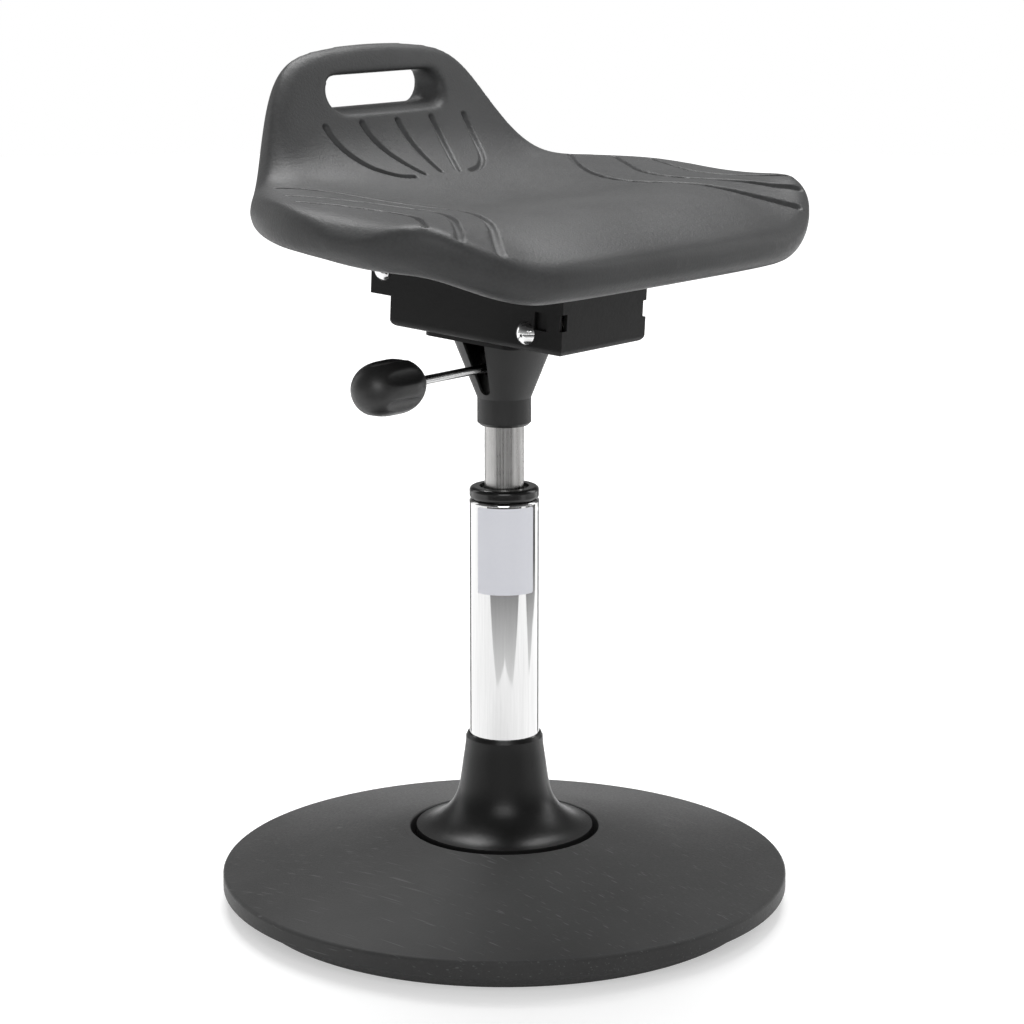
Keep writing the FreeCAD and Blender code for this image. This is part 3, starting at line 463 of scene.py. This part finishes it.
def finish(name, effect, settings, bump_mm, **shader_values):
    """A material whose colour, roughness and bump come from a shared effect."""
    material = bpy.data.materials.new(name)
    material.use_nodes = True
    tree = material.node_tree
    shader = tree.nodes["Principled BSDF"]
    where = tree.nodes.new("ShaderNodeTexCoord")
    surface = tree.nodes.new("ShaderNodeGroup")
    surface.node_tree = effect
    for socket, value in settings.items():
        surface.inputs[socket].default_value = value
    bump = tree.nodes.new("ShaderNodeBump")
    bump.inputs["Distance"].default_value = bump_mm / 1000.0
    tree.links.new(where.outputs["Object"], surface.inputs["Place"])
    tree.links.new(surface.outputs["Colour"], shader.inputs["Base Color"])
    tree.links.new(surface.outputs["Roughness"], shader.inputs["Roughness"])
    tree.links.new(surface.outputs["Height"], bump.inputs["Height"])
    tree.links.new(bump.outputs["Normal"], shader.inputs["Normal"])
    for socket, value in shader_values.items():
        shader.inputs[socket.replace("_", " ")].default_value = value
    return material


def tones(dark, light, rough_low, rough_high, **more):
    """An effect's settings: its two colours, its range of roughness and what else it has."""
    values = {"Dark Tone": dark, "Light Tone": light, "Rough Low": rough_low,
              "Rough High": rough_high}
    values.update({name.replace("_", " "): value for name, value in more.items()})
    return values


# %% [markdown]
# ### Plastic, rubber and foam
# The seat is self-skinning foam: charcoal, matte and finely grained, with a broad sheen.
# The foot's cover is the same family with a smoother face. The skirt and the lever's knob
# are harder plastics, nearly black and satin.

# %% Plastics
seat_skin = finish("seat_skin", grain,
                   tones(grey(0.036, -0.01), grey(0.078, -0.01), 0.36, 0.50, Grain_Size=0.55),
                   0.20, Specular_IOR_Level=0.16)
cover_skin = finish("cover_skin", grain,
                    tones(grey(0.034), grey(0.064), 0.40, 0.54, Grain_Size=0.6), 0.10,
                    Specular_IOR_Level=0.16)
skirt_plastic = finish("skirt_plastic", grain,
                       tones(grey(0.008), grey(0.011), 0.30, 0.40, Grain_Size=0.7), 0.03,
                       Specular_IOR_Level=0.3)
collar_plastic = finish("collar_plastic", grain,
                        tones(grey(0.008), grey(0.010), 0.16, 0.24, Grain_Size=0.7), 0.01)
knob_plastic = finish("knob_plastic", grain,
                      tones(grey(0.015), grey(0.021), 0.36, 0.48, Grain_Size=0.8), 0.04)
bush_plastic = finish("bush_plastic", grain,
                      tones(grey(0.10), grey(0.14), 0.45, 0.6), 0.04)
pale_plastic = finish("pale_plastic", grain,
                      tones(grey(0.62, 0.02), grey(0.70, 0.02), 0.4, 0.55), 0.03)
foot_rubber = finish("foot_rubber", grain,
                     tones(grey(0.016), grey(0.026), 0.65, 0.85, Grain_Size=0.6), 0.12)
soft_rubber = finish("soft_rubber", grain, tones(grey(0.012), grey(0.02), 0.6, 0.8), 0.08)
cast_paint = finish("cast_paint", grain,
                    tones(grey(0.05), grey(0.075), 0.5, 0.7, Grain_Size=0.25), 0.4)
print("plastics and rubbers made")

# %% [markdown]
# ### Scuffs on the cover
# The foot is where shoes rest, so its cover carries short, faint, pale scuffs in many
# directions. They could be modelled or painted. Three stretched noises, each turned a
# different way, give hair-fine marks without any picture.

# %% Scuffed cover
scuff_tone, scuff_amount = 0.17, 0.35

cover_tree = cover_skin.node_tree
cover_surface = next(n for n in cover_tree.nodes if n.type == "GROUP")
cover_shader = cover_tree.nodes["Principled BSDF"]
cover_where = next(n for n in cover_tree.nodes if n.type == "TEX_COORD")
scuff_layer = cover_tree.nodes.new("ShaderNodeGroup")
scuff_layer.node_tree = scuffs
scuff_layer.inputs["Scuff Tone"].default_value = grey(scuff_tone)
scuff_layer.inputs["Amount"].default_value = scuff_amount
cover_tree.links.new(cover_where.outputs["Object"], scuff_layer.inputs["Place"])
cover_tree.links.new(cover_surface.outputs["Colour"], scuff_layer.inputs["Colour"])
cover_tree.links.new(scuff_layer.outputs["Colour"], cover_shader.inputs["Base Color"])
print("cover scuffed")

# %% [markdown]
# ### Metals
# The outer column is chromed and polished, the gas spring's tube is drawn steel with
# marks along its length, and the mechanism is powder-coated black. All but the powder
# coat are fully metallic, so their colour is the colour of their reflections.

# %% Metals
column_chrome = finish("column_chrome", drawn,
                       tones(grey(0.62), grey(0.68), 0.035, 0.06, Stretch=(1.0, 1.0, 0.03)),
                       0.0015, Metallic=1.0)
tube_steel = finish("tube_steel", drawn,
                    tones(grey(0.30, 0.02), grey(0.46, 0.01), 0.22, 0.36,
                          Stretch=(1.0, 1.0, 0.012)), 0.01, Metallic=1.0)
rod_steel = finish("rod_steel", drawn,
                   tones(grey(0.48), grey(0.66), 0.18, 0.30, Stretch=(0.02, 1.0, 1.0)),
                   0.006, Metallic=1.0)
plated_steel = finish("plated_steel", drawn,
                      tones(grey(0.48, 0.02), grey(0.60, 0.01), 0.25, 0.4,
                            Stretch=(1.0, 1.0, 1.0)), 0.01, Metallic=1.0)
cap_chrome = finish("cap_chrome", drawn,
                    tones(grey(0.72), grey(0.80), 0.08, 0.16, Stretch=(1.0, 1.0, 1.0)),
                    0.003, Metallic=1.0)
powder_coat = finish("powder_coat", grain,
                     tones(grey(0.011), grey(0.015), 0.36, 0.48, Grain_Size=0.55), 0.10,
                     Specular_IOR_Level=0.14)
satin_coat = finish("satin_coat", grain,
                    tones(grey(0.018), grey(0.025), 0.38, 0.5, Grain_Size=0.9), 0.05,
                    Specular_IOR_Level=0.4)
print("metals made")

# %% [markdown]
# ### Dents in the chrome
# Near its top the chromed tube has small round dents, where it is crimped onto the guide
# bush inside. They are too small to carve, so a bump does it: the distance to each dent's
# centre, turned into a bowl.

# %% Crimp dents
dents, dents_in, dents_out = effect_group(
    "crimp_dents", [("Place", PLACE, None), ("Height", NUMBER, 0.0)], [("Height", NUMBER)])
tube_outside = 0.025
dent_height = 0.288
dent_width = 0.0021
# In units of the chrome's own bump distance, which makes the dents 0.09 mm deep
dent_depth = 60.0
dent_angles_deg = (166.0, -74.0, 46.0)

dented = dents_in.outputs["Height"]
for angle_deg in dent_angles_deg:
    turn = math.radians(angle_deg)
    away = dents.nodes.new("ShaderNodeVectorMath")
    away.operation = "DISTANCE"
    away.inputs[1].default_value = (tube_outside * math.cos(turn),
                                    tube_outside * math.sin(turn), dent_height)
    dents.links.new(dents_in.outputs["Place"], away.inputs[0])
    bowl = ranged(dents, away.outputs["Value"], -dent_depth, 0.0, 0.0, dent_width)
    dented = calculate(dents, "ADD", bowl, dented)
dents.links.new(dented, dents_out.inputs["Height"])

chrome_tree = column_chrome.node_tree
chrome_surface = next(n for n in chrome_tree.nodes if n.type == "GROUP")
chrome_bump = next(n for n in chrome_tree.nodes if n.type == "BUMP")
chrome_where = next(n for n in chrome_tree.nodes if n.type == "TEX_COORD")
dent_layer = chrome_tree.nodes.new("ShaderNodeGroup")
dent_layer.node_tree = dents
chrome_tree.links.new(chrome_where.outputs["Object"], dent_layer.inputs["Place"])
chrome_tree.links.new(chrome_surface.outputs["Height"], dent_layer.inputs["Height"])
chrome_tree.links.new(dent_layer.outputs["Height"], chrome_bump.inputs["Height"])
print("dents at", dent_height, "m")

# %% [markdown]
# ### Finishes onto the pieces
# Each CAD piece has one material slot, named in the model's record. The record says what
# each slot is made of, so most finishes go on by slot, and the few pieces that look
# different from their slot are named one by one.

# %% Every CAD piece gets its finish
finish_by_slot = {
    "base_skin": cover_skin, "foot_rubber": foot_rubber, "cast_weight": cast_paint,
    "zinc_steel": plated_steel, "buffer_rubber": soft_rubber, "bearing_plastic": pale_plastic,
    "column_chrome": column_chrome, "skirt_plastic": skirt_plastic,
    "bush_plastic": bush_plastic, "tube_steel": tube_steel, "black_steel": powder_coat,
    "cap_chrome": cap_chrome, "knob_plastic": knob_plastic, "seat_foam": seat_skin,
}
finish_by_node = {"collar": collar_plastic, "lever_rod": rod_steel, "taper_sleeve": satin_coat,
                  "cone": satin_coat}

slot_of = {part["node"]: part["material_slot"] for part in frame["record"]["subparts"]}
for node_name, node in nodes.items():
    chosen = finish_by_node.get(node_name, finish_by_slot[slot_of[node_name]])
    for material_slot in node.material_slots:
        material_slot.material = chosen
print(len(nodes), "pieces finished with", len(set(finish_by_slot.values())), "finishes")

# %% [markdown]
# ## The seat
# The real seat is foam moulded in one piece, with half-round grooves that let air through
# and stop the sitter from sliding. The CAD solid has its form but not its grooves. A copy
# of the solid's mesh is remeshed into an even grid, drawn back onto the solid, refined
# only where a groove will run, and then pushed in along the groove. An even grid is what
# lets the grooves come out smooth, whatever way they cross the seat.

# %% An even skin over the seat
grid_size = 0.0026
seat_merge_distance = 0.00002

seat_copy = nodes["seat"].data.copy()
seat_copy.name = "seat_moulding"
copy_bm = bmesh.new()
copy_bm.from_mesh(seat_copy)
bmesh.ops.remove_doubles(copy_bm, verts=copy_bm.verts, dist=seat_merge_distance)
copy_bm.to_mesh(seat_copy)
copy_bm.free()
seat_piece = bpy.data.objects.new("seat_moulding", seat_copy)
bpy.context.scene.collection.objects.link(seat_piece)


def apply_modifiers(piece):
    """Make what the modifiers show the piece's own mesh."""
    evaluated = piece.evaluated_get(bpy.context.evaluated_depsgraph_get())
    applied = bpy.data.meshes.new_from_object(evaluated)
    applied.name = piece.name
    piece.modifiers.clear()
    piece.data = applied


even = seat_piece.modifiers.new("even_grid", "REMESH")
even.mode = "VOXEL"
even.voxel_size = grid_size
even.use_smooth_shade = True
apply_modifiers(seat_piece)
print("even grid", len(seat_piece.data.vertices), "vertices")

# %% [markdown]
# ### Where the grooves run
# Three grooves sweep forward on each side of the seat, and five fan up the inside of the
# grip. Each is a short list of places seen from above, in millimetres, with its half
# width at its two ends. A ray finds the height of the seat there. The groove's line is a
# smooth curve through the places, so it takes few of them.

# %% Groove lines
side_grooves = [
    ([(159, 65), (133, 38), (118, 12), (111, -20), (117, -54), (132, -92), (157, -119),
      (168.5, -131.5)], 1.8, 3.3),
    ([(178.5, 38), (160, 13), (144, -12), (140, -42), (149, -73), (173, -101), (191, -117.6)],
     1.8, 3.2),
    ([(193, 15), (181, -10), (172, -39), (175, -66), (191, -87), (203.5, -100)], 1.7, 2.2),
]
grip_grooves = [
    ([(75, 97), (73, 90), (68, 79), (59, 67), (44.5, 57.6), (30.5, 54.4)], 2.4, 1.8),
    ([(37.5, 96.5), (36, 89), (31, 77.5), (25, 67), (18.5, 56.4)], 2.4, 1.8),
]
middle_groove = ([(0, 96), (0, 83), (0, 70), (0, 57)], 2.4, 1.8)
groove_depth = 0.0022
groove_half_width = 0.0018
groove_step = 0.0015
ray_head_start = 0.05


def smooth_line(places, step):
    """Evenly spaced points on a smooth curve through the places, in metres."""
    ends = [places[0]] + list(places) + [places[-1]]
    points = [Vector((x / 1000, y / 1000)) for x, y in ends]
    line = []
    for before, start, end, after in zip(points, points[1:], points[2:], points[3:]):
        count = max(2, round((end - start).length / step))
        for i in range(count):
            t = i / count
            line.append(0.5 * (2 * start + (end - before) * t
                               + (2 * before - 5 * start + 4 * end - after) * t ** 2
                               + (3 * start - before - 3 * end + after) * t ** 3))
    return line + [points[-1]]


def onto_seat(line):
    """Drop each point from above onto the seat."""
    above_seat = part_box("seat")[1][2] + ray_head_start
    dropped = []
    for point in line:
        hit, place, _, _ = nodes["seat"].ray_cast(Vector((point.x, point.y, above_seat)),
                                                  Vector((0, 0, -1)))
        if hit:
            dropped.append(place)
    return dropped


groove_lines = []
for places, start_width, end_width in side_grooves + grip_grooves:
    for side in (-1, 1):
        mirrored = [(side * x, y) for x, y in places]
        line = onto_seat(smooth_line(mirrored, groove_step))
        groove_lines.append((line, start_width, end_width))
places, start_width, end_width = middle_groove
groove_lines.append((onto_seat(smooth_line(places, groove_step)), start_width, end_width))
print(len(groove_lines), "grooves,", sum(len(line) for line, _, _ in groove_lines), "points")

# %% [markdown]
# ### Carving
# A tree of all the groove points finds, for any vertex, the nearest stretch of groove.
# Edges near a groove are cut into quarters, the whole skin is drawn onto the CAD solid,
# and each vertex in a groove moves in along its normal by a rounded profile. The wider a
# groove is, the deeper it goes.

# %% Refine the skin along the grooves
groove_points = []
for line, start_width, end_width in groove_lines:
    for i, point in enumerate(line):
        share = i / (len(line) - 1)
        neighbour = line[i + 1] if i + 1 < len(line) else line[i - 1]
        width = (start_width + (end_width - start_width) * share ** 2) / 1000
        groove_points.append((point, neighbour, width))
groove_tree = KDTree(len(groove_points))
for i, (point, _, _) in enumerate(groove_points):
    groove_tree.insert(point, i)
groove_tree.balance()


# Each vertex looks at its few nearest stretches. Before the first it counts as far away
stretches_tried = 3
far_away, least_width = 1.0, 0.001


def groove_distance(place):
    """Distance from a groove's line, and the groove's half width there."""
    best, best_width = far_away, least_width
    for _, index, _ in groove_tree.find_n(place, stretches_tried):
        point, neighbour, width = groove_points[index]
        nearest, share = intersect_point_line(place, point, neighbour)
        if share < 0 or share > 1:
            nearest = point
        if (place - nearest).length < best:
            best, best_width = (place - nearest).length, width
    return best, best_width


refine_reach = 0.0045
refine_cuts = 3
seat_bm = bmesh.new()
seat_bm.from_mesh(seat_piece.data)
near_groove = {v for v in seat_bm.verts if groove_distance(v.co)[0] < refine_reach}
band = [e for e in seat_bm.edges if e.verts[0] in near_groove and e.verts[1] in near_groove]
bmesh.ops.subdivide_edges(seat_bm, edges=band, cuts=refine_cuts, use_grid_fill=True)
bmesh.ops.triangulate(seat_bm, faces=[f for f in seat_bm.faces if len(f.verts) > 4])
seat_bm.to_mesh(seat_piece.data)
seat_bm.free()
print("refined", len(seat_piece.data.vertices), "vertices")

# %% Draw it onto the solid, then carve
smoothing_passes, smoothing_factor = 4, 0.5
# The profile is a cosine that reaches zero at 1.25 half widths, which rounds the lips
carve_reach = 1.25
quarter_turn = 0.5 * math.pi

drawn_on = seat_piece.modifiers.new("onto_solid", "SHRINKWRAP")
drawn_on.target = nodes["seat"]
drawn_on.wrap_method = "NEAREST_SURFACEPOINT"
apply_modifiers(seat_piece)

seat_bm = bmesh.new()
seat_bm.from_mesh(seat_piece.data)
for _ in range(smoothing_passes):
    bmesh.ops.smooth_vert(seat_bm, verts=seat_bm.verts, factor=smoothing_factor,
                          use_axis_x=True, use_axis_y=True, use_axis_z=True)
seat_bm.normal_update()
moves = []
for vert in seat_bm.verts:
    distance, half_width = groove_distance(vert.co)
    if distance < carve_reach * half_width:
        profile = math.cos(quarter_turn * distance / (carve_reach * half_width))
        depth = groove_depth * (half_width / groove_half_width) ** 0.5
        moves.append((vert, -depth * profile * vert.normal))
for vert, move in moves:
    vert.co += move
for face in seat_bm.faces:
    face.smooth = True
seat_bm.to_mesh(seat_piece.data)
seat_bm.free()
seat_piece.data.materials.clear()
seat_piece.data.materials.append(seat_skin)
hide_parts("seat")
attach(seat_piece, "seat")
print("carved", len(moves), "vertices")

# %% [markdown]
# ## The lever's knob
# The knob is a turned barrel with a domed end and six shallow finger flutes whose lips are
# soft. Its CAD solid has sharp lips, so a softer copy stands for it here. Half an outline
# is spun round the lever's axis, and each ring is then pulled in where a flute's cutter
# would reach it. A smooth minimum of the two radii rounds the lips.

# %% The knob
knob_low, knob_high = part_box("lever_knob")
knob_start, knob_length = knob_high[0], knob_high[0] - knob_low[0]
knob_axis_height = (knob_low[2] + knob_high[2]) / 2
knob_radius = 0.0189
widest_share = 0.4
neck_share = 0.52
neck_curve, dome_curve = 2.4, 3.8
flute_count, flute_radius, flute_depth, flute_lip = 6, 0.011, 0.0023, 0.0004


def knob_outline(share):
    """Radius of the plain barrel at a share of its length."""
    if share < widest_share:
        back = (widest_share - share) / widest_share
        return knob_radius * (1 - (1 - neck_share) * back ** neck_curve)
    onward = (share - widest_share) / (1 - widest_share)
    return knob_radius * max(0.0, 1 - onward ** dome_curve) ** 0.5


print("knob", round(knob_length, 4), "m long")

# %% Spin the barrel
knob_rings, knob_sides = 56, 144
knob_merge_distance = 0.00001

knob_bm = bmesh.new()
outline = [knob_bm.verts.new((knob_start, 0, 0))]
for i in range(knob_rings + 1):
    share = math.sin(0.5 * math.pi * i / knob_rings)
    along = knob_start - share * knob_length
    outline.append(knob_bm.verts.new((along, 0, knob_outline(share))))
outline_edges = [knob_bm.edges.new(pair) for pair in zip(outline, outline[1:])]
bmesh.ops.spin(knob_bm, geom=outline + outline_edges, cent=(0, 0, 0), axis=(1, 0, 0),
               dvec=(0, 0, 0), angle=2 * math.pi, steps=knob_sides, use_merge=True,
               use_duplicate=False)
bmesh.ops.remove_doubles(knob_bm, verts=knob_bm.verts, dist=knob_merge_distance)
print("barrel", len(knob_bm.verts), "vertices")

# %% Press in the flutes
# The flutes don't reach nearer to the axis than this
knob_tip_radius = 0.001
cutter_centre = knob_radius + flute_radius - flute_depth
for vert in knob_bm.verts:
    radius, angle = math.hypot(vert.co.y, vert.co.z), math.atan2(vert.co.z, vert.co.y)
    sector = 2 * math.pi / flute_count
    off = (angle % sector) - sector / 2
    if radius > knob_tip_radius and abs(cutter_centre * math.sin(off)) < flute_radius:
        reach = cutter_centre * math.cos(off) - math.sqrt(
            flute_radius ** 2 - (cutter_centre * math.sin(off)) ** 2)
        gap = radius - reach
        pulled = (radius + reach - math.sqrt(gap ** 2 + flute_lip ** 2)) / 2
        vert.co.y *= pulled / radius
        vert.co.z *= pulled / radius
print(flute_count, "flutes")

# %% Fit the knob to the lever
bmesh.ops.translate(knob_bm, verts=knob_bm.verts, vec=(0, 0, knob_axis_height))
bmesh.ops.recalc_face_normals(knob_bm, faces=knob_bm.faces)
for face in knob_bm.faces:
    face.smooth = True
knob_mesh = bpy.data.meshes.new("knob_grip")
knob_bm.to_mesh(knob_mesh)
knob_bm.free()
knob_mesh.materials.append(knob_plastic)
knob = bpy.data.objects.new("knob_grip", knob_mesh)
bpy.context.scene.collection.objects.link(knob)
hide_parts("lever_knob")
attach(knob, "lever")
print("knob", len(knob_mesh.polygons), "faces")

# %% [markdown]
# ## The label
# The column wears a sticker, bent round its front. Here it is a plain pale one with
# nothing on it: a thin sheet on the chrome, with rounded corners and a slightly silvery
# face. It starts as a flat grid with bevelled corners, and each point is then wrapped
# round the tube.

# %% A plain sheet
label_centre_deg = -138.7
label_width = 0.0442
label_bottom, label_top = 0.229, 0.291
label_corner = 0.0016
label_corner_segments = 4
label_stand_off = 0.00012
label_strips = 24

label_bm = bmesh.new()
bmesh.ops.create_grid(label_bm, x_segments=1, y_segments=1, size=0.5,
                      matrix=Matrix.Diagonal((label_width, label_top - label_bottom, 1, 1)))
bmesh.ops.bevel(label_bm, geom=label_bm.verts[:], offset=label_corner, offset_type="OFFSET",
                affect="VERTICES", segments=label_corner_segments, profile=0.5, material=-1)
for i in range(1, label_strips):
    cut_at = label_width * (i / label_strips - 0.5)
    whole = label_bm.verts[:] + label_bm.edges[:] + label_bm.faces[:]
    bmesh.ops.bisect_plane(label_bm, geom=whole, plane_co=(cut_at, 0, 0), plane_no=(1, 0, 0))
print("sheet", len(label_bm.faces), "faces")

# %% Wrap it round the column
label_radius = tube_outside + label_stand_off
label_turn = math.radians(label_centre_deg)
for vert in label_bm.verts:
    angle = label_turn + vert.co.x / tube_outside
    height = (label_bottom + label_top) / 2 + vert.co.y
    vert.co = (label_radius * math.cos(angle), label_radius * math.sin(angle), height)
bmesh.ops.recalc_face_normals(label_bm, faces=label_bm.faces)
outward = Vector((math.cos(label_turn), math.sin(label_turn), 0))
label_bm.faces.ensure_lookup_table()
if label_bm.faces[len(label_bm.faces) // 2].normal.dot(outward) < 0:
    bmesh.ops.reverse_faces(label_bm, faces=label_bm.faces)
for face in label_bm.faces:
    face.smooth = True
label_mesh = bpy.data.meshes.new("column_label")
label_bm.to_mesh(label_mesh)
label_bm.free()
label_paper = finish("label_paper", grain,
                     tones((0.84, 0.85, 0.92, 1), (0.90, 0.91, 0.96, 1), 0.30, 0.42,
                           Grain_Size=0.4), 0.004)
label_mesh.materials.append(label_paper)
label = bpy.data.objects.new("column_label", label_mesh)
bpy.context.scene.collection.objects.link(label)
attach(label, "column")
print("label", len(label_mesh.polygons), "faces")
